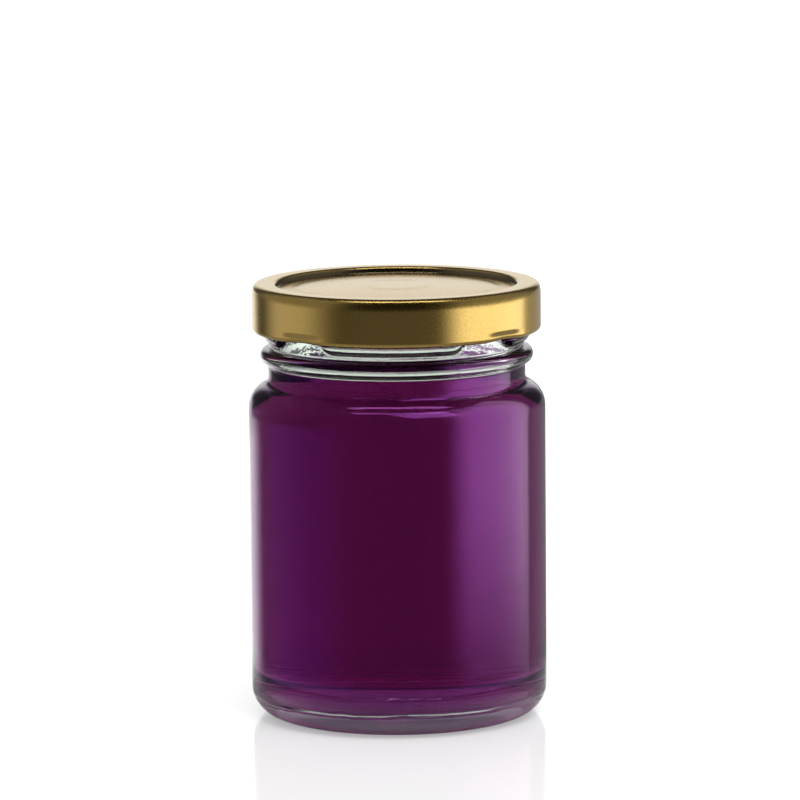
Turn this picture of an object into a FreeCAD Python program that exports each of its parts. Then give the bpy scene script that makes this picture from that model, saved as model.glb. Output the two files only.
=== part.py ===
"""Twist-off glass jar with a gold lug lid, filled with a clear dark drink.

Three pieces, each one solid: the glass jar, what fills it and the pressed
metal lid.  The jar stands on the ring under its base.  Its axis is Z, the
origin is at the middle of that ring's plane, and the front is towards -Y.
All sizes are in millimetres and all angles in degrees.
"""
import FreeCAD, Part
import math
import os

# ---- glass body -------------------------------------------------------
BODY_RADIUS = 28.7          # outside of the straight side
WALL = 2.3                  # side wall, shoulder and neck
FOOT_RING_RADIUS = 23.2     # outer edge of the ring that the jar stands on
FOOT_RING_WIDTH = 1.1       # flat part of that ring
PUSH_UP = 1.3               # rise of the dished underside at the middle
FLOOR_THICKNESS = 3.1       # glass at the middle of the base
FLOOR_CROWN = 2.2           # rise of the inner floor at the middle
INNER_HEEL_RADIUS = 7.5     # rounding between floor and side, inside
SIDE_TOP = 60.1             # height where the side turns into the shoulder
SHOULDER_RADIUS = 5.0       # rounding at the top of the side
SHOULDER_LEAN = 62.0        # how far the shoulder leans over at its steepest
NECK_FILLET = 1.6           # hollow rounding between shoulder and neck
NECK_RADIUS = 24.85         # outside of the neck, below the bead
NECK_LENGTH = 4.1           # from the shoulder's end to the bead's middle

# ---- glass finish: bead, threads and lip ------------------------------
BEAD_RADIUS = 1.5           # section radius of the ring below the lid
BEAD_FILLET = 0.5           # hollow rounding beside it
FINISH_STEP = 0.35          # how far the wall above the bead lies inside the neck
FINISH_HEIGHT = 12.7        # from the bead's middle to the top of the glass
LIP_OUTER_ROUND = 0.75
LIP_INNER_ROUND = 1.25
LUG_COUNT = 4               # lugs on the lid, and threads on the glass
LUG_ANGLE = -43.5           # first lug, from the front towards the right
THREAD_SECTION = 1.4        # section radius of a thread
THREAD_PROUD = 1.25         # how far a thread stands out from the wall
THREAD_BELOW_HEM = 0.4      # from the hem's lower edge to the middle of its level run
THREAD_START = 10.5         # its low end, past the lug on its left
THREAD_RAMP_START = 68.5    # where it climbs to pass over the next lug
THREAD_RAMP_END = 81.5
THREAD_END = 104.0          # its high end
THREAD_TIP = 5.0            # length over which each end runs out
THREAD_STEPS = 30           # sections along a thread

# ---- lid --------------------------------------------------------------
SHEET = 0.25                # thickness of the metal
LID_HEIGHT = 9.25           # from the hem's lower edge to the rim
RIM_ROUND = 1.3             # outer corner of the rim
STEP_INSET = 0.6            # from the mouth's edge out to the lid's inner step
STEP_TOP_ROUND = 0.55
STEP_ROUND = 0.5
STEP_DEPTH = 1.25           # from the rim down to the ledge
LEDGE_WIDTH = 4.15
PANEL_DROP = 0.35           # from the ledge down to the panel's edge
PANEL_SLOPE = 0.6           # width of that slope
PANEL_CROWN = 0.4           # rise of the panel towards the middle
BUTTON_RADIUS = 6.0         # safety button at the middle
BUTTON_SLOPE = 0.6          # width of its sloping edge
BUTTON_RISE = 0.18
HEM_RADIUS = 0.85           # outside of the rolled hem's section
HEM_TURN = 250.0            # how far the hem is rolled in
LUG_LIFT = 0.25             # how far a lug lies above the hem
LUG_HALF_ANGLE = 10.5       # from a lug's middle to where it dies out
LUG_BEND_HEIGHT = 3.6       # pressed-in zone, from the hem's lower edge up
LUG_STEPS = 10              # sections across a lug

# ---- clearances -------------------------------------------------------
LIP_GAP = 0.1               # lid's inner step to the rounded lip of the glass
HEM_GAP = 0.45              # hem to the threads that it passes over
LUG_NECK_GAP = 0.55         # lug to the wall between the threads
LUG_THREAD_GAP = 0.2        # top of a lug to the thread above it

# ---- contents ---------------------------------------------------------
FILL_BELOW_LIP = 14.6       # from the top of the glass down to the surface

# ---- sizes that follow from those above -------------------------------
FULL_TURN = 360.0
JOIN_TOLERANCE = 0.001      # faces this near to each other meet when joined
MOUTH_RADIUS = NECK_RADIUS - WALL
FINISH_RADIUS = NECK_RADIUS - FINISH_STEP
STEP_RADIUS = MOUTH_RADIUS + STEP_INSET
LEDGE_INNER_RADIUS = STEP_RADIUS - LEDGE_WIDTH
PANEL_RADIUS = LEDGE_INNER_RADIUS - PANEL_SLOPE
LID_RADIUS = FINISH_RADIUS + THREAD_PROUD + HEM_GAP + 2 * HEM_RADIUS
LUG_REACH = THREAD_PROUD + HEM_GAP - LUG_NECK_GAP


def vec(radius, height, angle=0.0):
    """Point at a radius and height, turned about Z from the front (-Y)."""
    turn = math.radians(angle)
    return FreeCAD.Vector(radius * math.sin(turn), -radius * math.cos(turn), height)


def polar(centre, radius, degrees):
    """Point (radius, height) on a circle about a centre in the section."""
    turn = math.radians(degrees)
    return (centre[0] + radius * math.cos(turn), centre[1] + radius * math.sin(turn))


class Outline:
    """A section in the plane of the axis, drawn as lines, arcs and curves."""

    def __init__(self, start, angle=0.0):
        self.start = start
        self.here = start
        self.angle = angle
        self.edges = []

    def at(self, point):
        """Place a (radius, height) pair in this section's plane."""
        return vec(point[0], point[1], self.angle)

    def line(self, point):
        """Straight run to a point."""
        self.edges.append(Part.LineSegment(self.at(self.here), self.at(point)).toShape())
        self.here = point
        return self

    def arc(self, centre, radius, start_degrees, end_degrees):
        """Arc about a centre, entered by a straight run where one is left."""
        first = polar(centre, radius, start_degrees)
        middle = polar(centre, radius, (start_degrees + end_degrees) / 2)
        last = polar(centre, radius, end_degrees)
        if math.dist(first, self.here) > 1e-6:
            self.line(first)
        curve = Part.Arc(self.at(self.here), self.at(middle), self.at(last))
        self.edges.append(curve.toShape())
        self.here = last
        return self

    def swing(self, point):
        """Curve to a point that leaves and arrives straight up or down."""
        half = (self.here[1] + point[1]) / 2
        curve = Part.BezierCurve()
        poles = [self.here, (self.here[0], half), (point[0], half), point]
        curve.setPoles([self.at(pole) for pole in poles])
        self.edges.append(curve.toShape())
        self.here = point
        return self

    def wire(self):
        """The closed section."""
        if math.dist(self.here, self.start) > 1e-6:
            self.line(self.start)
        return Part.Wire(self.edges)

    def spun(self, sweep=FULL_TURN):
        """The solid that the section sweeps about the axis."""
        face = Part.Face(self.wire())
        return face.revolve(FreeCAD.Vector(), FreeCAD.Vector(0, 0, 1), sweep)


def dish_radius(half_width, rise):
    """Radius of a shallow dish from its half width and its rise."""
    return (half_width ** 2 + rise ** 2) / (2 * rise)


def around(shape, number):
    """The copy of a shape that belongs to one of the lugs."""
    copy = shape.copy()
    copy.rotate(FreeCAD.Vector(), FreeCAD.Vector(0, 0, 1), number * FULL_TURN / LUG_COUNT)
    return copy


def joined(shapes):
    """One solid from shapes that touch or overlap."""
    return shapes[0].fuse(shapes[1:], JOIN_TOLERANCE).removeSplitter()


def shoulder_hollow():
    """Centre of the hollow rounding that leads from the shoulder to the neck.

    The shoulder is a rounding, a straight slope as long as the step from
    body to neck asks for, and this hollow.
    """
    lean = math.radians(SHOULDER_LEAN)
    roundings = SHOULDER_RADIUS + NECK_FILLET
    slope = (BODY_RADIUS - NECK_RADIUS - roundings * (1 - math.cos(lean))) / math.sin(lean)
    height = SIDE_TOP + roundings * math.sin(lean) + slope * math.cos(lean)
    return (NECK_RADIUS + NECK_FILLET, height)


def bead_height():
    """Height of the bead's middle."""
    return shoulder_hollow()[1] + NECK_LENGTH


def lip_top():
    """Height of the top of the glass."""
    return bead_height() + FINISH_HEIGHT


def dished_floor(radius, rise, base_height):
    """Centre, radius and end angle of a shallow dome over a floor."""
    size = dish_radius(radius, rise)
    centre = (0.0, base_height + rise - size)
    return centre, size, math.degrees(math.asin((size - rise) / size))


def inside_outline(top, inset_lip):
    """Section of the room inside the glass, up to a height.

    With inset_lip the top is the mouth, rounded at its inner edge.
    """
    side = BODY_RADIUS - WALL
    shoulder = (BODY_RADIUS - SHOULDER_RADIUS, SIDE_TOP)
    floor_rim = PUSH_UP + FLOOR_THICKNESS - FLOOR_CROWN
    heel = (side - INNER_HEEL_RADIUS, floor_rim + INNER_HEEL_RADIUS)
    dome, size, rim_angle = dished_floor(heel[0], FLOOR_CROWN, floor_rim)
    room = Outline((0.0, floor_rim + FLOOR_CROWN))
    room.arc(dome, size, 90.0, rim_angle)
    room.arc(heel, INNER_HEEL_RADIUS, -90.0, 0.0)
    room.arc(shoulder, SHOULDER_RADIUS - WALL, 0.0, SHOULDER_LEAN)
    room.arc(shoulder_hollow(), NECK_FILLET + WALL, 180.0 + SHOULDER_LEAN, 180.0)
    if inset_lip:
        mouth = (MOUTH_RADIUS + LIP_INNER_ROUND, top - LIP_INNER_ROUND)
        room.arc(mouth, LIP_INNER_ROUND, 180.0, 90.0)
        room.line((mouth[0], top + WALL))
        room.line((0.0, top + WALL))
    else:
        room.line((MOUTH_RADIUS, top))
        room.line((0.0, top))
    return room


def bead_fillet(bead, neck, side):
    """Centre of the hollow rounding from a neck to the bead, and where it ends."""
    across = neck + BEAD_FILLET - bead[0]
    rise = math.sqrt((BEAD_RADIUS + BEAD_FILLET) ** 2 - across ** 2)
    return (neck + BEAD_FILLET, bead[1] + side * rise), math.degrees(math.atan2(rise, across))


def glass_outside():
    """Outer form of the jar, as if it were solid glass."""
    shoulder = (BODY_RADIUS - SHOULDER_RADIUS, SIDE_TOP)
    heel = BODY_RADIUS - FOOT_RING_RADIUS
    ring_inner = FOOT_RING_RADIUS - FOOT_RING_WIDTH
    dome, size, rim_angle = dished_floor(ring_inner, PUSH_UP, 0.0)
    bead = (NECK_RADIUS, bead_height())
    body = Outline((0.0, PUSH_UP))
    body.arc(dome, size, 90.0, rim_angle)
    body.line((FOOT_RING_RADIUS, 0.0))
    body.arc((FOOT_RING_RADIUS, heel), heel, -90.0, 0.0)
    body.arc(shoulder, SHOULDER_RADIUS, 0.0, SHOULDER_LEAN)
    body.arc(shoulder_hollow(), NECK_FILLET, 180.0 + SHOULDER_LEAN, 180.0)
    below, flare_below = bead_fillet(bead, NECK_RADIUS, -1)
    above, flare_above = bead_fillet(bead, FINISH_RADIUS, 1)
    body.arc(below, BEAD_FILLET, 180.0, 180.0 - flare_below)
    body.arc(bead, BEAD_RADIUS, -flare_below, flare_above)
    body.arc(above, BEAD_FILLET, 180.0 + flare_above, 180.0)
    lip = (FINISH_RADIUS - LIP_OUTER_ROUND, lip_top() - LIP_OUTER_ROUND)
    body.arc(lip, LIP_OUTER_ROUND, 0.0, 90.0)
    body.line((0.0, lip_top()))
    return body.spun()


def smooth_step(start, end, value):
    """Ease from 0 at start to 1 at end."""
    share = min(max((value - start) / (end - start), 0.0), 1.0)
    return share * share * (3.0 - 2.0 * share)


def thread():
    """One thread: a level run below the hem that climbs over the next lug."""
    low = hem_bottom() - THREAD_BELOW_HEM
    lug_top = hem_bottom() + 2 * HEM_RADIUS + LUG_LIFT
    high = lug_top + LUG_THREAD_GAP + THREAD_SECTION
    sections = []
    for step in range(THREAD_STEPS + 1):
        past_lug = THREAD_START + (THREAD_END - THREAD_START) * step / THREAD_STEPS
        climb = smooth_step(THREAD_RAMP_START, THREAD_RAMP_END, past_lug)
        from_end = min(past_lug - THREAD_START, THREAD_END - past_lug)
        fullness = math.sqrt(smooth_step(-THREAD_TIP / 2, THREAD_TIP, from_end))
        section = THREAD_SECTION * fullness
        angle = LUG_ANGLE + past_lug
        height = low + (high - low) * climb
        centre = vec(FINISH_RADIUS + THREAD_PROUD * fullness - section, height, angle)
        along = vec(1.0, 0.0, angle + 90.0)
        sections.append(Part.Wire(Part.makeCircle(section, centre, along)))
    return Part.makeLoft(sections, True, False)


def glass_jar():
    """The jar: outer form with its threads, less the room inside."""
    threads = [around(thread(), number) for number in range(LUG_COUNT)]
    return joined([glass_outside()] + threads).cut(inside_outline(lip_top(), True).spun())


def contents():
    """The drink: all the room inside up to its level surface."""
    return inside_outline(lip_top() - FILL_BELOW_LIP, False).spun()


def lid_top_height():
    """Top of the lid, seated with its inner step on the rounded lip.

    The step's underside and the lip's inner edge are both round, so their
    centres lie apart by the two radii and the gap.
    """
    under_round = STEP_ROUND + SHEET
    across = MOUTH_RADIUS + LIP_INNER_ROUND - (STEP_RADIUS - STEP_ROUND)
    reach = under_round + LIP_INNER_ROUND + LIP_GAP
    rise = math.sqrt(reach ** 2 - across ** 2)
    ledge_underside = lip_top() - LIP_INNER_ROUND + rise - under_round
    return ledge_underside + SHEET + STEP_DEPTH


def hem_bottom():
    """Height of the lid's lower edge."""
    return lid_top_height() - LID_HEIGHT


def lid_face(depth):
    """One face of the lid's sheet, from the middle out and down the skirt.

    The outer face has depth 0 and the inner face lies a sheet below it.
    """
    top = lid_top_height()
    ledge = top - STEP_DEPTH
    panel = ledge - PANEL_DROP - depth
    size = dish_radius(PANEL_RADIUS, PANEL_CROWN)
    dome = (0.0, panel + PANEL_CROWN - size)
    button_foot = BUTTON_RADIUS + BUTTON_SLOPE
    foot_angle = math.degrees(math.acos(button_foot / size))
    rim_angle = math.degrees(math.acos(PANEL_RADIUS / size))
    button_top = polar(dome, size, foot_angle)[1] + BUTTON_RISE
    face = Outline((0.0, button_top))
    face.line((BUTTON_RADIUS, button_top))
    face.arc(dome, size, foot_angle, rim_angle)
    face.line((LEDGE_INNER_RADIUS, ledge - depth))
    face.arc((STEP_RADIUS - STEP_ROUND, ledge + STEP_ROUND), STEP_ROUND + depth, -90.0, 0.0)
    step_top = (STEP_RADIUS + STEP_TOP_ROUND, top - STEP_TOP_ROUND)
    face.arc(step_top, STEP_TOP_ROUND - depth, 180.0, 90.0)
    face.arc((LID_RADIUS - RIM_ROUND, top - RIM_ROUND), RIM_ROUND - depth, 90.0, 0.0)
    return face.line((LID_RADIUS - depth, hem_bottom() + LUG_BEND_HEIGHT))


def lid_shell():
    """The lid's sheet down to where the lugs are pressed in."""
    outer = lid_face(0.0)
    inner = lid_face(SHEET)
    middle = Part.LineSegment(outer.at(outer.start), inner.at(inner.start)).toShape()
    edge = Part.LineSegment(outer.at(outer.here), inner.at(inner.here)).toShape()
    around_section = Part.__sortEdges__(outer.edges + inner.edges + [middle, edge])
    face = Part.Face(Part.Wire(around_section))
    return face.revolve(FreeCAD.Vector(), FreeCAD.Vector(0, 0, 1), FULL_TURN)


def hem_section(angle, press):
    """Lower skirt and rolled hem, pressed in by a share of the lug's reach."""
    bend_top = hem_bottom() + LUG_BEND_HEIGHT
    skirt = LID_RADIUS - LUG_REACH * press
    roll = (skirt - HEM_RADIUS, hem_bottom() + HEM_RADIUS + LUG_LIFT * press)
    section = Outline((LID_RADIUS, bend_top), angle)
    section.swing((skirt, roll[1]))
    section.arc(roll, HEM_RADIUS, 0.0, -HEM_TURN)
    section.arc(roll, HEM_RADIUS - SHEET, -HEM_TURN, 0.0)
    section.swing((LID_RADIUS - SHEET, bend_top))
    return section


def lug():
    """The pressed-in stretch of hem that reaches under a thread."""
    sections = []
    for step in range(LUG_STEPS + 1):
        aside = LUG_HALF_ANGLE * (2.0 * step / LUG_STEPS - 1.0)
        press = math.cos(math.pi / 2 * aside / LUG_HALF_ANGLE) ** 2
        sections.append(hem_section(LUG_ANGLE + aside, press).wire())
    return Part.makeLoft(sections, True, False)


def plain_hem():
    """The rolled hem from one lug to the next."""
    sweep = FULL_TURN / LUG_COUNT - 2 * LUG_HALF_ANGLE
    return hem_section(LUG_ANGLE + LUG_HALF_ANGLE, 0.0).spun(sweep)


def lug_lid():
    """The lid: panel, rim and skirt, and the hem with its lugs."""
    hem = [around(piece, number) for number in range(LUG_COUNT) for piece in (lug(), plain_hem())]
    return joined([lid_shell()] + hem)


PIECES = {
    "glass_jar": glass_jar,
    "contents": contents,
    "lug_lid": lug_lid,
}

os.makedirs("parts", exist_ok=True)
for name, make in PIECES.items():
    make().exportStep(os.path.join("parts", name + ".step"))
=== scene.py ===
"""Looks of a twist-off jar: clear glass, a gold lug lid and a purple drink.

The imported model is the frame: each turned piece below takes its place from
the boxes of the CAD nodes and stands for one of them.  Lengths are in
millimetres until a mesh is made, and in metres from there on.  Angles about
the axis are in degrees from the front (-Y) towards the right (+X).
"""
import logging
import math
from dataclasses import dataclass, field
from enum import Enum

import bmesh
import bpy
from mathutils import Matrix, Vector


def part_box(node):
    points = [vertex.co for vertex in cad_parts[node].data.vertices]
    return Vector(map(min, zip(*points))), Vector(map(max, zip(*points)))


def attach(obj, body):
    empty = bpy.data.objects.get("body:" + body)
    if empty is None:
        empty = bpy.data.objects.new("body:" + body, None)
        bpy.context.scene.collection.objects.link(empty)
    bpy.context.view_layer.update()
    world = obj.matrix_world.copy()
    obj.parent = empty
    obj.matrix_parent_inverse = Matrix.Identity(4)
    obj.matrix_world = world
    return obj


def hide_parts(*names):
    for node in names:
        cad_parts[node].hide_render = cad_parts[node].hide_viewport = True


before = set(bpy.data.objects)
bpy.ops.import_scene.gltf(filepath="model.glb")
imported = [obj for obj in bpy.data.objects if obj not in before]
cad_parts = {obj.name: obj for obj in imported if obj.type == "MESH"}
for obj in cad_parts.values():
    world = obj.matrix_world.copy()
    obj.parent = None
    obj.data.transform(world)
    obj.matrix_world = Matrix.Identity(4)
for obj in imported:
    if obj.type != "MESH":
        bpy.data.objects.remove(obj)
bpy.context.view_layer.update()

LOG = logging.getLogger("jar")
MM = 0.001
PER_METRE = 1 / MM
ROOT = "root"
Point = tuple[float, float]


class Node(Enum):
    """CAD nodes that the pieces stand for."""

    JAR = "glass_jar"
    DRINK = "contents"
    LID = "lug_lid"


class Slot(Enum):
    """Material slots of the record."""

    GLASS = "clear_glass"
    DRINK = "purple_liquid"
    GOLD = "gold_lacquer"


def node_size(node: Node) -> tuple[float, float, float]:
    """Measure a CAD node at rest.

    Args:
        node: the CAD node.

    Returns:
        Its radius, lowest and highest point, in millimetres.
    """
    low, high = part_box(node.value)
    return high[0] * PER_METRE, low[2] * PER_METRE, high[2] * PER_METRE


def ease(start: float, end: float, value: float) -> float:
    """Ease from 0 at start to 1 at end.

    Args:
        start: value that gives 0.
        end: value that gives 1.
        value: the value to place between them.

    Returns:
        A share from 0 to 1, level at both ends.
    """
    share = min(max((value - start) / (end - start), 0.0), 1.0)
    return share * share * (3.0 - 2.0 * share)


def grey(value: float) -> tuple[float, float, float, float]:
    """Neutral colour of one brightness."""
    return (value, value, value, 1.0)


# ---- turned sections ---------------------------------------------------


@dataclass
class Section:
    """Half section of a turned piece, as points from axis to axis.

    Each point carries a weight that a Geometry Nodes tree reads later, and
    the side of the sheet that it is on: 0 outside, 1 inside.  A value in
    between paints shade: the lid's recess wall gets one, which darkens its
    lacquer there.
    """

    points: list[Point] = field(default_factory=list)
    weights: list[float] = field(default_factory=list)
    sides: list[float] = field(default_factory=list)
    side: float = 0.0

    def add(self, point: Point, weight: float = 0.0) -> None:
        """Add one point, unless it repeats the last one.

        Args:
            point: radius and height.
            weight: how far the point follows the tree's change.
        """
        if not self.points or math.dist(point, self.points[-1]) > 1e-5:
            self.points.append(point)
            self.weights.append(weight)
            self.sides.append(self.side)

    def line(self, point: Point, step: float = 1.0, weight: float = 0.0) -> "Section":
        """Go straight to a point.

        Args:
            point: radius and height to reach.
            step: longest stretch between two points.
            weight: weight of the points on the way.

        Returns:
            The section itself.
        """
        first = self.points[-1]
        count = max(1, math.ceil(math.dist(first, point) / step))
        for index in range(1, count + 1):
            share = index / count
            self.add((first[0] + (point[0] - first[0]) * share,
                      first[1] + (point[1] - first[1]) * share), weight)
        return self

    def arc(self, centre: Point, radius: float, start: float, end: float,
            step: float = 5.0, weight: float = 0.0) -> "Section":
        """Follow an arc, entered straight from the last point.

        Args:
            centre: middle of the arc.
            radius: its radius.
            start: angle where it begins, in degrees from outwards.
            end: angle where it ends.
            step: largest turn between two points.
            weight: weight of its points.

        Returns:
            The section itself.
        """
        count = max(1, math.ceil(abs(end - start) / step))
        for index in range(count + 1):
            turn = math.radians(start + (end - start) * index / count)
            self.add((centre[0] + radius * math.cos(turn),
                      centre[1] + radius * math.sin(turn)), weight)
        return self


def dome(half_width: float, rise: float, foot: float) -> tuple[Point, float, float]:
    """Work out a shallow dome about the axis.

    Args:
        half_width: radius of its foot.
        rise: height of its middle above the foot.
        foot: height of the foot.

    Returns:
        Centre, radius and the angle of the foot, in degrees from outwards.
    """
    radius = (half_width ** 2 + rise ** 2) / (2 * rise)
    return (0.0, foot + rise - radius), radius, math.degrees(math.acos(half_width / radius))


def turned_mesh(name: str, section: Section, segments: int) -> bpy.types.Object:
    """Turn a section about the axis into a closed mesh.

    Args:
        name: name of the piece.
        section: its half section, which starts and ends on the axis.
        segments: faces round the axis.

    Returns:
        The new object, with the point attributes "follow" and "side".
    """
    vertices, follow, sides, rings = [], [], [], []
    for (radius, height), weight, side in zip(section.points, section.weights, section.sides):
        count = segments if radius > 1e-6 else 1
        rings.append(range(len(vertices), len(vertices) + count))
        for index in range(count):
            turn = 2 * math.pi * index / segments
            across, depth = radius * math.sin(turn), -radius * math.cos(turn)
            vertices.append((across * MM, depth * MM, height * MM))
            follow.append(weight)
            sides.append(side)
    faces = []
    for lower, upper in zip(rings, rings[1:]):
        for index in range(segments):
            after = (index + 1) % segments
            corners = [lower[index % len(lower)], lower[after % len(lower)],
                       upper[after % len(upper)], upper[index % len(upper)]]
            faces.append(list(dict.fromkeys(corners)))
    mesh = bpy.data.meshes.new(name)
    mesh.from_pydata(vertices, [], faces)
    mesh.attributes.new("follow", "FLOAT", "POINT").data.foreach_set("value", follow)
    mesh.attributes.new("side", "FLOAT", "POINT").data.foreach_set("value", sides)
    work = bmesh.new()
    work.from_mesh(mesh)
    bmesh.ops.recalc_face_normals(work, faces=work.faces)
    work.to_mesh(mesh)
    work.free()
    mesh.polygons.foreach_set("use_smooth", [True] * len(mesh.polygons))
    piece = bpy.data.objects.new(name, mesh)
    bpy.context.scene.collection.objects.link(piece)
    return piece


# ---- node trees --------------------------------------------------------


class Wiring:
    """Short calls that add nodes to a tree and join them."""

    def __init__(self, tree: bpy.types.NodeTree) -> None:
        """Work on one tree.

        Args:
            tree: the shader or geometry tree to fill.
        """
        self.tree = tree

    def add(self, kind: str, inputs: dict | None = None, **settings: object) -> bpy.types.Node:
        """Add a node.

        Args:
            kind: type name of the node.
            inputs: value or source socket for each named or numbered input.
            **settings: properties of the node itself.

        Returns:
            The new node.
        """
        node = self.tree.nodes.new(kind)
        for key, value in settings.items():
            setattr(node, key, value)
        for key, value in (inputs or {}).items():
            self.feed(node.inputs[key], value)
        return node

    def feed(self, socket: bpy.types.NodeSocket, value: object) -> None:
        """Give an input a plain value or a link.

        Args:
            socket: the input.
            value: a socket to link from, or a value.
        """
        if isinstance(value, bpy.types.NodeSocket):
            self.tree.links.new(value, socket)
        else:
            socket.default_value = value

    def math(self, operation: str, *values: object) -> bpy.types.NodeSocket:
        """Add a Math node.

        Args:
            operation: what it does.
            *values: its inputs, in order.

        Returns:
            Its result.
        """
        return self.add("ShaderNodeMath", dict(enumerate(values)), operation=operation).outputs[0]

    def smooth(self, value: object, start: object, end: object) -> bpy.types.NodeSocket:
        """Add a Map Range node that eases from 0 to 1.

        Args:
            value: the value to place.
            start: value that gives 0.
            end: value that gives 1.

        Returns:
            Its result.
        """
        node = self.add("ShaderNodeMapRange", {0: value, 1: start, 2: end},
                        interpolation_type="SMOOTHSTEP")
        return node.outputs[0]

    def mix(self, share: object, first: object, second: object) -> bpy.types.NodeSocket:
        """Add a colour mix.

        Args:
            share: share of the second colour.
            first: colour or socket.
            second: colour or socket.

        Returns:
            The mixed colour.
        """
        node = self.add("ShaderNodeMix", data_type="RGBA")
        self.feed(node.inputs[0], share)
        self.feed(node.inputs[6], first)
        self.feed(node.inputs[7], second)
        return node.outputs[2]


@dataclass
class ShapeTree:
    """Start and end that every Geometry Nodes tree here shares."""

    name: str
    numbers: dict[str, float]

    def __post_init__(self) -> None:
        """Make the tree, its named inputs and the values that each tree needs."""
        self.tree = bpy.data.node_groups.new(self.name, "GeometryNodeTree")
        face = self.tree.interface
        face.new_socket("Geometry", in_out="INPUT", socket_type="NodeSocketGeometry")
        for name, value in self.numbers.items():
            socket = face.new_socket(name, in_out="INPUT", socket_type="NodeSocketFloat")
            socket.default_value = value
        face.new_socket("Material", in_out="INPUT", socket_type="NodeSocketMaterial")
        face.new_socket("Geometry", in_out="OUTPUT", socket_type="NodeSocketGeometry")
        self.wiring = Wiring(self.tree)
        self.given = self.wiring.add("NodeGroupInput").outputs
        place = self.wiring.add("GeometryNodeInputPosition").outputs[0]
        across, depth, self.height = self.wiring.add("ShaderNodeSeparateXYZ", {0: place}).outputs[:3]
        level = self.wiring.add("ShaderNodeCombineXYZ", {0: across, 1: depth}).outputs[0]
        length = self.wiring.add("ShaderNodeVectorMath", {0: level}, operation="LENGTH")
        self.outwards = self.wiring.add(
            "ShaderNodeVectorMath", {0: level}, operation="NORMALIZE").outputs[0]
        self.radius = length.outputs["Value"]
        toward_front = self.wiring.math("MULTIPLY", depth, -1.0)
        self.angle = self.wiring.math(
            "MULTIPLY", self.wiring.math("ARCTAN2", across, toward_front), math.degrees(1.0))
        self.follow = self.wiring.add(
            "GeometryNodeInputNamedAttribute", {"Name": "follow"}, data_type="FLOAT").outputs[0]

    def finish(self, outward: object, upward: object) -> bpy.types.NodeTree:
        """Move the points and close the tree.

        Args:
            outward: how far each point moves away from the axis.
            upward: how far it moves up.

        Returns:
            The whole tree.
        """
        make = self.wiring
        aside = make.add("ShaderNodeVectorMath", {0: self.outwards, "Scale": outward},
                         operation="SCALE").outputs[0]
        rise = make.add("ShaderNodeCombineXYZ", {2: upward}).outputs[0]
        shift = make.add("ShaderNodeVectorMath", {0: aside, 1: rise}, operation="ADD").outputs[0]
        moved = make.add("GeometryNodeSetPosition",
                         {"Geometry": self.given["Geometry"], "Offset": shift}).outputs[0]
        real = make.add("GeometryNodeRealizeInstances", {"Geometry": moved}).outputs[0]
        dressed = make.add("GeometryNodeSetMaterial",
                           {"Geometry": real, "Material": self.given["Material"]}).outputs[0]
        make.add("NodeGroupOutput", {"Geometry": dressed})
        return self.tree


def lug_tree(numbers: dict[str, float]) -> bpy.types.NodeTree:
    """Tree that presses lugs into a lid's hem at even angles.

    Args:
        numbers: its named inputs, lengths in metres and angles in degrees.

    Returns:
        The tree.
    """
    shape = ShapeTree("pressed_lugs", numbers)
    make, given = shape.wiring, shape.given
    spacing = make.math("DIVIDE", 360.0, given["Count"])
    half = make.math("DIVIDE", spacing, 2.0)
    past = make.math("ADD", make.math("SUBTRACT", shape.angle, given["First Angle"]), half)
    aside = make.math("SUBTRACT", make.math("FLOORED_MODULO", past, spacing), half)
    share = make.math("DIVIDE", make.math("ABSOLUTE", aside), given["Half Angle"])
    capped = make.math("MINIMUM", share, 1.0)
    wave = make.math("COSINE", make.math("MULTIPLY", capped, math.pi / 2))
    press = make.math("MULTIPLY", make.math("POWER", wave, 2.0), shape.follow)
    inward = make.math("MULTIPLY", make.math("MULTIPLY", press, given["Reach"]), -1.0)
    return shape.finish(inward, make.math("MULTIPLY", press, given["Lift"]))


def thread_tree(numbers: dict[str, float]) -> bpy.types.NodeTree:
    """Tree that raises thread runs from a jar's finish.

    Args:
        numbers: its named inputs, lengths in metres and angles in degrees.

    Returns:
        The tree.
    """
    shape = ShapeTree("thread_runs", numbers)
    make, given = shape.wiring, shape.given
    spacing = make.math("DIVIDE", 360.0, given["Count"])
    past = make.math("FLOORED_MODULO",
                     make.math("SUBTRACT", shape.angle, given["First Angle"]), spacing)
    raised = shape.radius
    for turns in (0.0, 1.0):
        along = make.math("ADD", past, make.math("MULTIPLY", spacing, turns))
        climb = make.smooth(along, given["Ramp Start"], given["Ramp End"])
        rise = make.math("SUBTRACT", given["High"], given["Low"])
        middle = make.math("ADD", given["Low"], make.math("MULTIPLY", rise, climb))
        from_start = make.math("SUBTRACT", along, given["Start"])
        from_end = make.math("MINIMUM", from_start, make.math("SUBTRACT", given["End"], along))
        half_tip = make.math("MULTIPLY", given["Tip"], -0.5)
        full = make.math("SQRT", make.smooth(from_end, half_tip, given["Tip"]))
        size = make.math("MAXIMUM", make.math("MULTIPLY", given["Section"], full), MM * MM)
        share = make.math("DIVIDE", make.math("SUBTRACT", shape.height, middle), size)
        under_root = make.math("SUBTRACT", 1.0, make.math("MULTIPLY", share, share))
        bulge = make.math("MULTIPLY", size, make.math("SQRT", make.math("MAXIMUM", under_root, 0.0)))
        core = make.math("SUBTRACT", make.math("MULTIPLY", given["Proud"], full), size)
        crest = make.math("ADD", given["Wall"], make.math("ADD", core, bulge))
        raised = make.math("SMOOTH_MAX", raised, crest, given["Blend"])
    push = make.math("MULTIPLY", make.math("SUBTRACT", raised, shape.radius), shape.follow)
    return shape.finish(push, 0.0)


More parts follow.
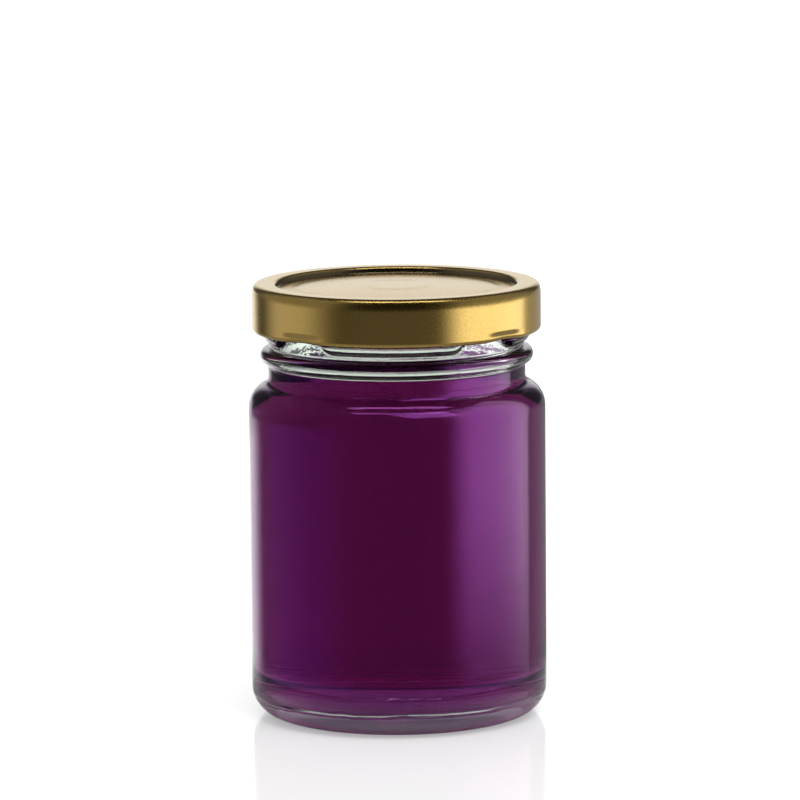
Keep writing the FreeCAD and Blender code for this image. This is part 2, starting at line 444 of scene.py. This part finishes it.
def apply_tree(piece: bpy.types.Object, tree: bpy.types.NodeTree, values: dict[str, float],
               material: bpy.types.Material) -> None:
    """Run a tree on a piece and keep the result as its plain mesh.

    Args:
        piece: the object that the tree changes.
        tree: the Geometry Nodes tree.
        values: its named numbers.
        material: what its Set Material node gives.
    """
    modifier = piece.modifiers.new(tree.name, "NODES")
    modifier.node_group = tree
    for item in tree.interface.items_tree:
        if item.in_out == "INPUT" and item.name in values:
            modifier[item.identifier] = values[item.name]
        if item.in_out == "INPUT" and item.name == "Material":
            modifier[item.identifier] = material
    evaluated = piece.evaluated_get(bpy.context.evaluated_depsgraph_get())
    result = bpy.data.meshes.new_from_object(evaluated)
    result.name = piece.name
    piece.modifiers.clear()
    piece.data = result


# ---- finishes ----------------------------------------------------------


def grain_group() -> bpy.types.NodeTree:
    """Shader group with a fine grain and a broad haze over a surface.

    Returns:
        The group, built once and shared by the finishes.
    """
    name = "grain_and_haze"
    if name in bpy.data.node_groups:
        return bpy.data.node_groups[name]
    tree = bpy.data.node_groups.new(name, "ShaderNodeTree")
    for label, value in (("Grain Size", 0.5), ("Haze Size", 12.0)):
        socket = tree.interface.new_socket(label, in_out="INPUT", socket_type="NodeSocketFloat")
        socket.default_value = value
    for label in ("Grain", "Haze"):
        tree.interface.new_socket(label, in_out="OUTPUT", socket_type="NodeSocketFloat")
    make = Wiring(tree)
    given = make.add("NodeGroupInput").outputs
    place = make.add("ShaderNodeTexCoord").outputs["Object"]
    found = []
    for label, detail in (("Grain Size", 3.0), ("Haze Size", 2.0)):
        scale = make.math("DIVIDE", PER_METRE, given[label])
        noise = make.add("ShaderNodeTexNoise", {"Vector": place, "Scale": scale, "Detail": detail})
        found.append(noise.outputs[0])
    make.add("NodeGroupOutput", dict(enumerate(found)))
    return tree


@dataclass(frozen=True)
class Finish:
    """What every finish has: a material with one Principled shader."""

    name: str
    grain_size: float
    haze_size: float

    def start(self) -> tuple[bpy.types.Material, Wiring, bpy.types.Node, bpy.types.Node]:
        """Make the material and its shared effects.

        Returns:
            The material, its wiring, the Principled shader, and the group
            that gives the grain and the haze.
        """
        material = bpy.data.materials.new(self.name)
        material.use_nodes = True
        make = Wiring(material.node_tree)
        shader = material.node_tree.nodes["Principled BSDF"]
        sizes = {"Grain Size": self.grain_size, "Haze Size": self.haze_size}
        group = make.add("ShaderNodeGroup", node_tree=grain_group())
        for label, size in sizes.items():
            group.inputs[label].default_value = size
        return material, make, shader, group

    def bump(self, make: Wiring, shader: bpy.types.Node, height: bpy.types.NodeSocket,
             depth: float) -> None:
        """Feed a height into the shader's normal.

        Args:
            make: wiring of the material.
            shader: its Principled shader.
            height: the height, from 0 to 1.
            depth: what 1 stands for, in millimetres.
        """
        node = make.add("ShaderNodeBump", {"Height": height, "Distance": depth * MM})
        make.feed(shader.inputs["Normal"], node.outputs[0])


@dataclass(frozen=True)
class ClearGlass(Finish):
    """Pressed soda-lime glass with a faint green cast, soft waviness and painted purple reflections.
    """

    name: str = "soda_glass"
    grain_size: float = 1.1
    haze_size: float = 9.0
    refraction: float = 1.52
    tints: tuple = ((0.975, 0.99, 0.98, 1.0), (0.955, 0.98, 0.965, 1.0))
    # Painted reflection: the glass's reflections are tinted purple, standing in for light from the
    # drink.
    painted_purple_reflection_tint: tuple = (0.85, 0.2, 1.0, 1.0)
    roughness: tuple = (0.0, 0.003)
    smeared_at: tuple = (0.4, 0.8)
    ripple: float = 0.012
    seams: tuple = ((4.35, 0.5, 1.2, 0.09), (65.75, 0.22, 0.0, 0.05))
    pressed_from: tuple = (71.6, 73.2)
    pressed: float = 0.03

    def seam(self, make: Wiring, height: bpy.types.NodeSocket, wave: bpy.types.NodeSocket,
             numbers: tuple) -> bpy.types.NodeSocket:
        """Raise the fine line where two parts of the mould met.

        Args:
            make: wiring of the material.
            height: height above the base, in millimetres.
            wave: a slow wave from 0 to 1, which the line follows.
            numbers: its height, half width, wander and rise, in millimetres.

        Returns:
            Its relief, in millimetres.
        """
        level, half_width, wander, rise = numbers
        shift = make.math("MULTIPLY", make.math("SUBTRACT", wave, 0.5), wander)
        off = make.math("ABSOLUTE", make.math("SUBTRACT", make.math("SUBTRACT", height, shift), level))
        return make.math("MULTIPLY", make.smooth(off, half_width, 0.0), rise)

    def build(self) -> bpy.types.Material:
        """Make the glass.

        Returns:
            The material.
        """
        material, make, shader, group = self.start()
        shader.inputs["IOR"].default_value = self.refraction
        shader.inputs["Transmission Weight"].default_value = 1.0
        # Tints the glass's reflections purple: a painted reflection of the drink's light.
        shader.inputs["Specular Tint"].default_value = self.painted_purple_reflection_tint
        make.feed(shader.inputs["Base Color"], make.mix(group.outputs["Haze"], *self.tints))
        smear = dict(enumerate((group.outputs["Haze"], *self.smeared_at, *self.roughness)))
        make.feed(shader.inputs["Roughness"], make.add("ShaderNodeMapRange", smear).outputs[0])
        place = make.add("ShaderNodeTexCoord").outputs["Object"]
        metres_up = make.add("ShaderNodeSeparateXYZ", {0: place}).outputs[2]
        height = make.math("MULTIPLY", metres_up, PER_METRE)
        relief = make.math("MULTIPLY", group.outputs["Haze"], self.ripple)
        for numbers in self.seams:
            relief = make.math("ADD", relief, self.seam(make, height, group.outputs["Haze"], numbers))
        upper = make.math("MULTIPLY", make.smooth(height, *self.pressed_from), self.pressed)
        relief = make.math("ADD", relief, make.math("MULTIPLY", group.outputs["Grain"], upper))
        self.bump(make, shader, relief, 1.0)
        return material


@dataclass(frozen=True)
class PurpleDrink(Finish):
    """Clear drink that takes up most of the green light on its way through."""

    name: str = "purple_drink"
    grain_size: float = 1.5
    haze_size: float = 18.0
    refraction: float = 1.36
    tints: tuple = ((1.0, 1.0, 1.0, 1.0), (0.985, 0.975, 0.985, 1.0))
    # Painted reflection: the drink's surface reflections are tinted purple, standing in for its own
    # glow.
    painted_purple_reflection_tint: tuple = (0.1, 0.0, 0.5, 1.0)
    absorption: tuple = (0.57, 0.0769, 0.4869, 1.0)
    density: float = 130.0

    def build(self) -> bpy.types.Material:
        """Make the drink, with its absorption as plain values.

        Returns:
            The material.
        """
        material, make, shader, group = self.start()
        shader.inputs["IOR"].default_value = self.refraction
        shader.inputs["Transmission Weight"].default_value = 1.0
        # Tints the drink's reflections purple: a painted reflection of its light.
        shader.inputs["Specular Tint"].default_value = self.painted_purple_reflection_tint
        make.feed(shader.inputs["Base Color"], make.mix(group.outputs["Haze"], *self.tints))
        shader.inputs["Roughness"].default_value = 0.0
        inside = make.add("ShaderNodeVolumeAbsorption",
                          {"Color": self.absorption, "Density": self.density})
        output = make.tree.nodes["Material Output"]
        make.tree.links.new(inside.outputs[0], output.inputs["Volume"])
        return material


@dataclass(frozen=True)
class GoldLacquer(Finish):
    """Satin gold lacquer on tinplate: grain, haze, nicks, a dark inside, painted recess shade. fine
    grain, soft haze and three nicks.
    """

    name: str = "satin_gold"
    grain_size: float = 0.35
    haze_size: float = 14.0
    tints: tuple = ((0.5, 0.33, 0.078, 1.0), (0.475, 0.31, 0.07, 1.0))
    edge_tint: tuple = (1.0, 0.92, 0.7, 1.0)
    # Dark grey of the sheet's inside; the recess wall is also mixed toward it as painted shade.
    inner_and_recess_shade_tint: tuple = (0.06, 0.06, 0.062, 1.0)
    grain_shade: float = 0.12
    roughness: tuple = (0.2, 0.28)
    rough_at: tuple = (0.3, 0.7)
    coat_roughness: float = 0.14
    coat: float = 0.6
    relief: float = 0.008
    nick_tint: tuple = (0.05, 0.04, 0.035, 1.0)
    nick_depth: float = 0.5
    nick_spots: tuple = ((18.2, 20.9, 0.3), (23.2, 0.4, 0.3), (-1.0, 27.3, 0.3))

    def nicks(self, make: Wiring) -> bpy.types.NodeSocket:
        """Find the tiny nicks in the lid's edges.

        Args:
            make: wiring of the material.

        Returns:
            1 in a nick, 0 elsewhere.
        """
        place = make.add("ShaderNodeTexCoord").outputs["Object"]
        across, depth, height = make.add("ShaderNodeSeparateXYZ", {0: place}).outputs[:3]
        level = make.add("ShaderNodeCombineXYZ", {0: across, 1: depth}).outputs[0]
        found = 0.0
        for right, back, reach in self.nick_spots:
            spot = (right * MM, back * MM, 0.0)
            away = make.add("ShaderNodeVectorMath", {0: level, 1: spot}, operation="DISTANCE")
            near = make.smooth(away.outputs["Value"], reach * MM, reach * MM * 0.5)
            found = make.math("MAXIMUM", found, near)
        _, _, top = node_size(Node.LID)
        upper = make.smooth(height, (top - self.nick_depth) * MM, top * MM)
        return make.math("MULTIPLY", found, upper)

    def build(self) -> bpy.types.Material:
        """Make the lacquer.

        Returns:
            The material.
        """
        material, make, shader, group = self.start()
        shader.inputs["Metallic"].default_value = 1.0
        shader.inputs["Coat Weight"].default_value = self.coat
        shader.inputs["Coat Roughness"].default_value = self.coat_roughness
        shader.inputs["Specular Tint"].default_value = self.edge_tint
        plain = make.mix(group.outputs["Haze"], *self.tints)
        shade = make.math("MULTIPLY", group.outputs["Grain"], self.grain_shade)
        worn = make.mix(self.nicks(make), make.mix(shade, plain, self.nick_tint), self.nick_tint)
        # The side attribute turns the inside of the sheet to the dark inner tint, and paints shade on
        # the recess wall at the step shade's share.
        side = make.add("ShaderNodeAttribute", attribute_name="side").outputs["Fac"]
        make.feed(shader.inputs["Base Color"], make.mix(side, worn, self.inner_and_recess_shade_tint))
        rough = dict(enumerate((group.outputs["Grain"], *self.rough_at, *self.roughness)))
        make.feed(shader.inputs["Roughness"], make.add("ShaderNodeMapRange", rough).outputs[0])
        self.bump(make, shader, group.outputs["Grain"], self.relief)
        return material


# ---- the pieces --------------------------------------------------------


@dataclass
class GlassJar:
    """The jar's glass: base, side, shoulder, bead, threads and lip."""

    segments: int = 240
    wall: float = 2.3
    foot_ring: tuple[float, float] = (22.1, 23.2)
    push_up: float = 1.3
    floor_thickness: float = 3.1
    floor_crown: float = 2.2
    inner_heel: float = 7.5
    side_top: float = 60.1
    shoulder: float = 5.0
    lean: float = 62.0
    hollow: float = 1.6
    neck: float = 24.85
    neck_length: float = 4.1
    bead: float = 1.5
    bead_fillet: float = 0.5
    finish_step: float = 0.35
    lip_rounds: tuple[float, float] = (0.75, 1.25)
    lug_count: int = 4
    lug_angle: float = -43.5
    thread_section: float = 1.4
    thread_proud: float = 1.25
    thread_low: float = 74.3
    thread_high: float = 78.26
    thread_span: tuple[float, float] = (10.5, 104.0)
    thread_ramp: tuple[float, float] = (68.5, 81.5)
    thread_tip: float = 5.0
    thread_blend: float = 0.35

    def __post_init__(self) -> None:
        """Take the outer sizes from the frame and work out the shoulder."""
        self.body, _, self.lip_top = node_size(Node.JAR)
        lean = math.radians(self.lean)
        rounds = self.shoulder + self.hollow
        slope = (self.body - self.neck - rounds * (1 - math.cos(lean))) / math.sin(lean)
        rise = rounds * math.sin(lean) + slope * math.cos(lean)
        self.hollow_centre = (self.neck + self.hollow, self.side_top + rise)
        self.shoulder_centre = (self.body - self.shoulder, self.side_top)
        self.finish = self.neck - self.finish_step
        self.mouth = self.neck - self.wall

    def room(self, section: Section, grown: float, top: float) -> None:
        """Add the room inside the glass, from the middle of the floor up.

        Args:
            section: the section to add to.
            grown: how far the outline is pushed into the wall.
            top: height where the neck's wall ends.
        """
        side = self.body - self.wall
        foot = self.push_up + self.floor_thickness - self.floor_crown
        heel = (side - self.inner_heel, foot + self.inner_heel)
        centre, radius, edge = dome(heel[0], self.floor_crown, foot)
        section.arc(centre, radius - grown, 90.0, edge, step=0.4)
        section.arc(heel, self.inner_heel + grown, -90.0, 0.0, step=4.0)
        section.line((side + grown, self.side_top), step=1.5)
        section.arc(self.shoulder_centre, self.shoulder - self.wall + grown, 0.0, self.lean, step=4.0)
        section.arc(self.hollow_centre, self.hollow + self.wall - grown,
                    180.0 + self.lean, 180.0, step=4.0)
        section.line((self.mouth + grown, top), step=0.8)

    def bead_round(self, neck: float, side: int) -> tuple[Point, float]:
        """Work out the hollow rounding beside the bead.

        Args:
            neck: radius of the wall on that side.
            side: 1 above the bead, -1 below it.

        Returns:
            Centre of the rounding, and where it meets the bead in degrees.
        """
        across = neck + self.bead_fillet - self.neck
        rise = math.sqrt((self.bead + self.bead_fillet) ** 2 - across ** 2)
        height = self.hollow_centre[1] + self.neck_length + side * rise
        return (neck + self.bead_fillet, height), math.degrees(math.atan2(rise, across))

    def section(self) -> Section:
        """Draw the glass from the middle of its base round to its floor.

        Returns:
            The whole section.
        """
        inner, outer = self.foot_ring
        heel = self.body - outer
        bead = (self.neck, self.hollow_centre[1] + self.neck_length)
        below, flare_below = self.bead_round(self.neck, -1)
        above, flare_above = self.bead_round(self.finish, 1)
        outer_lip, inner_lip = self.lip_rounds
        centre, radius, edge = dome(inner, self.push_up, 0.0)
        glass = Section()
        glass.arc(centre, radius, 90.0, edge, step=0.5)
        glass.line((outer, 0.0), step=0.4)
        glass.arc((outer, heel), heel, -90.0, 0.0, step=3.0)
        glass.line((self.body, self.side_top), step=1.5)
        glass.arc(self.shoulder_centre, self.shoulder, 0.0, self.lean, step=3.0)
        glass.arc(self.hollow_centre, self.hollow, 180.0 + self.lean, 180.0, step=4.0)
        glass.line((self.neck, below[1]), step=0.4)
        glass.arc(below, self.bead_fillet, 180.0, 180.0 - flare_below, step=12.0)
        glass.arc(bead, self.bead, -flare_below, flare_above, step=6.0)
        glass.arc(above, self.bead_fillet, 180.0 + flare_above, 180.0, step=12.0)
        glass.line((self.finish, self.lip_top - outer_lip), step=0.12, weight=1.0)
        glass.arc((self.finish - outer_lip, self.lip_top - outer_lip), outer_lip, 0.0, 90.0, step=10.0)
        mouth = (self.mouth + inner_lip, self.lip_top - inner_lip)
        glass.arc(mouth, inner_lip, 90.0, 180.0, step=10.0)
        inside = Section()
        self.room(inside, 0.0, mouth[1])
        for point in reversed(inside.points):
            glass.add(point)
        return glass

    def build(self, material: bpy.types.Material) -> bpy.types.Object:
        """Turn the glass, raise its threads and dress it.

        Args:
            material: the glass.

        Returns:
            The piece.
        """
        piece = turned_mesh("jar_glass", self.section(), self.segments)
        numbers = {
            "Count": float(self.lug_count), "First Angle": self.lug_angle,
            "Start": self.thread_span[0], "End": self.thread_span[1],
            "Ramp Start": self.thread_ramp[0], "Ramp End": self.thread_ramp[1],
            "Tip": self.thread_tip, "Low": self.thread_low * MM, "High": self.thread_high * MM,
            "Section": self.thread_section * MM, "Proud": self.thread_proud * MM,
            "Wall": self.finish * MM, "Blend": self.thread_blend * MM,
        }
        apply_tree(piece, thread_tree(numbers), numbers, material)
        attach(piece, ROOT)
        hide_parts(Node.JAR.value)
        return piece


@dataclass
class Drink:
    """The drink, reaching just into the glass so that no air gap shows."""

    jar: GlassJar
    segments: int = 240
    into_wall: float = 0.06
    corner: float = 0.3

    def build(self, material: bpy.types.Material) -> bpy.types.Object:
        """Turn the drink and dress it.

        Args:
            material: the drink's finish.

        Returns:
            The piece.
        """
        _, _, level = node_size(Node.DRINK)
        section = Section()
        edge = self.jar.mouth + self.into_wall
        self.jar.room(section, self.into_wall, level - self.corner)
        section.arc((edge - self.corner, level - self.corner), self.corner, 0.0, 90.0, step=15.0)
        section.line((0.0, level), step=2.0)
        piece = turned_mesh("purple_drink", section, self.segments)
        piece.data.materials.append(material)
        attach(piece, ROOT)
        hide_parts(Node.DRINK.value)
        return piece


@dataclass
class LugLid:
    """The pressed lid: panel with its button, rim, skirt, hem and lugs."""

    segments: int = 360
    sheet: float = 0.25
    rim_round: float = 1.3
    rim_soft: float = 6.0
    rim_turn: float = 13.0
    step_radius: float = 23.15
    step_top_round: float = 0.85
    step_round: float = 0.3
    step_depth: float = 1.2
    # Share of the dark inner tint that is painted on the recess wall as shade.
    step_shade: float = 0.75
    ledge_width: float = 3.0
    panel_drop: float = -0.2
    panel_slope: float = 1.4
    panel_crown: float = 0.4
    button: float = 6.0
    button_slope: float = 1.2
    button_rise: float = 0.1
    height: float = 9.25
    hem: float = 0.85
    hem_turn: float = 250.0
    lug_count: int = 4
    lug_angle: float = -41.5
    lug_half_angle: float = 13.0
    lug_reach: float = 0.42
    lug_lift: float = 0.2
    lug_bend: float = 2.2

    def face(self, depth: float) -> Section:
        """Draw one face of the sheet from the middle to the rim's outside.

        Args:
            depth: 0 for the outer face, the sheet's thickness for the inner.

        Returns:
            The points of that face.
        """
        radius, _, top = node_size(Node.LID)
        ledge = top - self.step_depth
        panel = self.step_radius - self.ledge_width - self.panel_slope
        centre, size, edge = dome(panel, self.panel_crown, ledge - self.panel_drop - depth)
        foot = math.degrees(math.acos((self.button + self.button_slope) / size))
        button_top = centre[1] + size * math.sin(math.radians(foot)) + self.button_rise
        face = Section()
        face.add((0.0, button_top))
        face.line((self.button, button_top), step=1.5)
        face.arc(centre, size, foot, edge, step=0.25)
        face.line((panel + self.panel_slope, ledge - depth), step=0.2)
        corner = (self.step_radius - self.step_round, ledge + self.step_round)
        face.line((corner[0], ledge - depth), step=0.8)
        # Painted shade: the recess wall's outer points carry the step shade, which darkens the lacquer
        # there toward the inner tint.
        face.side = self.step_shade
        face.arc(corner, self.step_round + depth, -90.0, 0.0, step=9.0)
        brow = (self.step_radius + self.step_top_round, top - self.step_top_round)
        face.arc(brow, self.step_top_round - depth, 180.0, 150.0, step=9.0)
        face.side = 0.0
        face.arc(brow, self.step_top_round - depth, 141.0, 90.0, step=9.0)
        turn = math.radians(self.rim_turn)
        more = self.rim_soft - self.rim_round
        rim = (radius - self.rim_round - more * (1 - math.cos(turn)), top - self.rim_round)
        face.line((rim[0], top - depth), step=0.5)
        face.arc(rim, self.rim_round - depth, 90.0, self.rim_turn, step=6.0)
        soft = (radius - self.rim_soft, rim[1] - more * math.sin(turn))
        face.arc(soft, self.rim_soft - depth, self.rim_turn, 0.0, step=2.0)
        return face

    def section(self) -> Section:
        """Draw the whole sheet, with the hem's points set to follow the lugs.

        Returns:
            The section, from the middle of the panel round to its underside.
        """
        radius, _, top = node_size(Node.LID)
        hem_bottom = top - self.height
        bend_top = hem_bottom + self.lug_bend
        roll = (radius - self.hem, hem_bottom + self.hem)
        lid = self.face(0.0)
        under = self.face(self.sheet)
        lid.line((radius, bend_top), step=0.5)
        bend = [bend_top + (roll[1] - bend_top) * index / 12 for index in range(1, 12)]
        for height in bend:
            lid.add((radius, height), ease(bend_top, roll[1], height))
        lid.arc(roll, self.hem, 0.0, -self.hem_turn, step=9.0, weight=1.0)
        lid.side = 1.0
        lid.arc(roll, self.hem - self.sheet, -self.hem_turn, 0.0, step=12.0, weight=1.0)
        for height in reversed(bend):
            lid.add((radius - self.sheet, height), ease(bend_top, roll[1], height))
        lid.line(under.points[-1], step=0.5)
        for point in reversed(under.points):
            lid.add(point)
        return lid

    def build(self, material: bpy.types.Material) -> bpy.types.Object:
        """Turn the lid, press its lugs and dress it.

        Args:
            material: the lid's finish.

        Returns:
            The piece.
        """
        piece = turned_mesh("gold_lid", self.section(), self.segments)
        numbers = {
            "Count": float(self.lug_count), "First Angle": self.lug_angle,
            "Half Angle": self.lug_half_angle, "Reach": self.lug_reach * MM,
            "Lift": self.lug_lift * MM,
        }
        apply_tree(piece, lug_tree(numbers), numbers, material)
        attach(piece, ROOT)
        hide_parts(Node.LID.value)
        return piece


# ---- stage, light and camera -------------------------------------------


@dataclass(frozen=True)
class Card:
    """One soft-edged patch of the surroundings, as shiny surfaces mirror it.

    Both ranges are four rising angles in degrees: the patch eases in over
    the first two and out over the last two.
    """

    level: float
    span: tuple[float, float, float, float]
    height: tuple[float, float, float, float]
    tint: tuple[float, float, float] = (1.0, 1.0, 1.0)

    @property
    def colour(self) -> tuple[float, ...]:
        """Colour of the card at its level."""
        return (*(self.level * part for part in self.tint), 1.0)

    def share(self, make: Wiring, aside: bpy.types.NodeSocket,
              up: bpy.types.NodeSocket) -> bpy.types.NodeSocket:
        """Work out how much of a direction the card covers.

        Args:
            make: wiring of the world.
            aside: the direction's first angle.
            up: its second angle.

        Returns:
            1 on the card, 0 off it.
        """
        share = 1.0
        for angle, edges in ((aside, self.span), (up, self.height)):
            rise = make.smooth(angle, edges[0], edges[1])
            fall = make.smooth(angle, edges[2], edges[3])
            inside = make.math("MULTIPLY", rise, make.math("SUBTRACT", 1.0, fall))
            share = make.math("MULTIPLY", share, inside)
        return share


@dataclass
class Studio:
    """A plain pale floor, soft surroundings, a lamp and the camera.

    What a surface throws straight back comes from surroundings of their own,
    as in a dark room with a white sweep behind the jar, a softbox on its
    right and a strip overhead.  All that is seen directly or through the
    jar is plain white.  Sharp reflections in the glass and soft ones in the
    metal have cards of their own.  The cards' first angle runs from the
    front to the right, the second up from level; the strip's angles lean
    from straight up to the right and to the front.
    """

    floor_size: float = 4.0
    floor_tint: float = 0.8
    floor_roughness: float = 0.12
    floor_glow: float = 0.32
    near_floor: tuple[float, float] = (0.038, 0.078)
    wall_crossings: float = 4.5
    ambient: float = 0.75
    front: float = 0.07
    glass_cards: tuple[Card, ...] = (
        Card(0.2, (-134.0, -108.0, -84.0, -34.0), (-40.0, -30.0, -8.9, -8.2), (1.3, 0.6, 1.9)),
        Card(2.2, (36.0, 66.0, 119.0, 127.0), (-12.8, -9.2, 52.0, 56.0)),
        Card(0.28, (119.0, 128.0, 190.0, 200.0), (-40.0, -30.0, -2.0, 3.0)),
        Card(1.3, (-200.0, -190.0, -152.0, -129.0), (-40.0, -30.0, -9.2, -8.3)),
        Card(1.0, (-200.0, -190.0, -162.0, -148.0), (-9.2, -8.3, -3.0, 3.0)),
        Card(1.1, (-200.0, -190.0, -170.0, -158.0), (-3.0, 3.0, 16.0, 30.0)),
        Card(1.1, (158.0, 170.0, 190.0, 200.0), (-3.0, 3.0, 16.0, 30.0)),
    )
    metal_cards: tuple[Card, ...] = (
        Card(0.4, (-200.0, -190.0, 190.0, 200.0), (-100.0, -95.0, -24.0, -12.0)),
        Card(0.35, (36.0, 66.0, 119.0, 150.0), (-3.0, 2.0, 52.0, 60.0)),
        Card(0.35, (-150.0, -119.0, -66.0, -36.0), (-3.0, 2.0, 52.0, 60.0)),
        Card(0.45, (119.0, 128.0, 190.0, 200.0), (-40.0, -30.0, -2.0, 3.0)),
        Card(1.3, (-200.0, -190.0, -158.0, -140.0), (-20.0, -12.0, -3.0, 3.0)),
        Card(0.15, (-60.0, -20.0, 20.0, 50.0), (-20.0, -12.0, -4.0, 4.0)),
        Card(0.85, (-134.0, -106.0, -84.0, -44.0), (-20.0, -12.0, -3.0, 2.0)),
        Card(2.6, (34.0, 58.0, 118.0, 126.0), (-20.0, -12.0, -3.0, 2.0)),
        Card(1.1, (-200.0, -190.0, -170.0, -158.0), (-3.0, 3.0, 16.0, 30.0)),
        Card(1.1, (158.0, 170.0, 190.0, 200.0), (-3.0, 3.0, 16.0, 30.0)),
        Card(0.01, (-50.0, -20.0, 20.0, 50.0), (-6.0, 2.0, 60.0, 70.0)),
    )
    strip: Card = Card(5.0, (-26.0, -20.0, 22.0, 28.0), (2.0, 4.0, 12.0, 14.0))
    lamp_place: tuple[float, float, float] = (0.25, -0.35, 0.75)
    lamp_size: tuple[float, float] = (0.5, 0.5)
    lamp_power: float = 3.0
    camera_place: tuple[float, float, float] = (0.0, -1.0, 0.213)
    camera_pitch: float = 8.64
    camera_roll: float = -0.5
    camera_yaw: float = 0.033
    lens: float = 235.2
    sensor: float = 36.0

    def mirrored(self, make: Wiring) -> bpy.types.NodeSocket:
        """Tell apart the light that a surface throws straight back.

        That is what a reflection carries, and what comes back out of the
        glass after one reflection inside its wall.  A refracted ray counts
        as glossy too, so it is ruled out first.

        Args:
            make: wiring of the material or world.

        Returns:
            1 for such a ray, 0 for any other.
        """
        path = make.add("ShaderNodeLightPath").outputs
        refracted = path["Is Transmission Ray"]
        thrown_back = make.math("SUBTRACT", path["Is Glossy Ray"], refracted)
        once = make.math("GREATER_THAN", path["Glossy Depth"], 0.5)
        shallow = make.math("LESS_THAN", path["Transmission Depth"], self.wall_crossings)
        inside = make.math("MULTIPLY", once, shallow)
        back_out = make.math("MULTIPLY", inside, refracted)
        return make.math("MAXIMUM", thrown_back, back_out)

    def floor(self) -> bpy.types.Object:
        """Lay the floor under the jar.

        Returns:
            The floor.
        """
        half = self.floor_size / 2
        mesh = bpy.data.meshes.new("floor")
        mesh.from_pydata([(-half, -half, 0), (half, -half, 0), (half, half, 0), (-half, half, 0)],
                         [], [(0, 1, 2, 3)])
        floor = bpy.data.objects.new("floor", mesh)
        bpy.context.scene.collection.objects.link(floor)
        material = bpy.data.materials.new("floor")
        material.use_nodes = True
        make = Wiring(material.node_tree)
        shader = material.node_tree.nodes["Principled BSDF"]
        shader.inputs["Base Color"].default_value = grey(self.floor_tint)
        shader.inputs["Roughness"].default_value = self.floor_roughness
        path = make.add("ShaderNodeLightPath").outputs
        seen = make.math("MAXIMUM", path["Is Camera Ray"], path["Is Transmission Ray"])
        shader.inputs["Emission Color"].default_value = grey(1.0)
        make.feed(shader.inputs["Emission Strength"], make.math("MULTIPLY", seen, self.floor_glow))
        place = make.add("ShaderNodeTexCoord").outputs["Object"]
        distance = make.add("ShaderNodeVectorMath", {0: place}, operation="LENGTH").outputs["Value"]
        far = make.smooth(distance, *self.near_floor)
        gone = make.math("MULTIPLY", far, self.mirrored(make))
        through = make.add("ShaderNodeBsdfTransparent").outputs[0]
        either = make.add("ShaderNodeMixShader", {0: gone, 1: shader.outputs[0], 2: through})
        make.feed(material.node_tree.nodes["Material Output"].inputs["Surface"], either.outputs[0])
        mesh.materials.append(material)
        return floor

    def world(self) -> None:
        """Make the surroundings: white to look at, shaped to be mirrored."""
        world = bpy.data.worlds.new("studio")
        bpy.context.scene.world = world
        world.use_nodes = True
        make = Wiring(world.node_tree)
        back = world.node_tree.nodes["Background"]
        path = make.add("ShaderNodeLightPath").outputs
        way = make.add("ShaderNodeTexCoord").outputs["Generated"]
        aside, ahead, up = make.add("ShaderNodeSeparateXYZ", {0: way}).outputs[:3]
        toward = make.math("MULTIPLY", ahead, -1.0)
        round_about = make.math("DEGREES", make.math("ARCTAN2", aside, toward))
        height = make.math("DEGREES", make.math("ARCSINE", up))
        layers = []
        for cards in (self.metal_cards, self.glass_cards):
            layer = grey(self.front)
            for card in cards:
                layer = make.mix(card.share(make, round_about, height), layer, card.colour)
            layers.append(layer)
        reflected = make.mix(path["Is Singular Ray"], *layers)
        lean_aside = make.math("DEGREES", make.math("ARCTAN2", aside, up))
        lean_front = make.math("DEGREES", make.math("ARCTAN2", toward, up))
        overhead = self.strip.share(make, lean_aside, lean_front)
        reflected = make.mix(overhead, reflected, self.strip.colour)
        mirrored = self.mirrored(make)
        light = make.mix(mirrored, grey(self.ambient), reflected)
        seen = make.math("MAXIMUM", path["Is Camera Ray"], path["Is Transmission Ray"])
        seen = make.math("MULTIPLY", seen, make.math("SUBTRACT", 1.0, mirrored))
        make.feed(back.inputs["Color"], make.mix(seen, light, grey(1.0)))

    def lamp(self) -> None:
        """Hang a soft lamp above and in front, which lights the floor."""
        data = bpy.data.lights.new("soft_lamp", "AREA")
        data.shape = "RECTANGLE"
        data.size, data.size_y = self.lamp_size
        data.energy = self.lamp_power
        lamp = bpy.data.objects.new("soft_lamp", data)
        bpy.context.scene.collection.objects.link(lamp)
        lamp.location = self.lamp_place
        lamp.visible_glossy = False
        aim = Vector((0.0, 0.0, 0.04)) - lamp.location
        lamp.rotation_euler = aim.to_track_quat("-Z", "Y").to_euler()

    def camera(self) -> None:
        """Set up the camera: a long lens, looking down a little and tilted."""
        data = bpy.data.cameras.new("camera")
        data.lens, data.sensor_width = self.lens, self.sensor
        camera = bpy.data.objects.new("camera", data)
        bpy.context.scene.collection.objects.link(camera)
        camera.location = self.camera_place
        turn = (Matrix.Rotation(math.radians(-self.camera_yaw), 3, "Z")
                @ Matrix.Rotation(math.radians(90.0 - self.camera_pitch), 3, "X")
                @ Matrix.Rotation(math.radians(self.camera_roll), 3, "Z"))
        camera.rotation_euler = turn.to_euler()
        bpy.context.scene.camera = camera

    def build(self) -> None:
        """Build the whole stage."""
        self.floor()
        self.world()
        self.lamp()
        self.camera()
        bpy.context.scene.view_settings.view_transform = "Standard"


def report(piece: bpy.types.Object) -> None:
    """Say what was built.

    Args:
        piece: the finished piece.
    """
    mesh = piece.data
    LOG.info("%s: %d vertices, %d faces", piece.name, len(mesh.vertices), len(mesh.polygons))


def main() -> None:
    """Build the pieces in order, then the stage."""
    logging.basicConfig(level=logging.INFO, format="%(message)s")
    jar = GlassJar()
    report(jar.build(ClearGlass().build()))
    report(Drink(jar).build(PurpleDrink().build()))
    report(LugLid().build(GoldLacquer().build()))
    Studio().build()


if __name__ == "__main__":
    main()
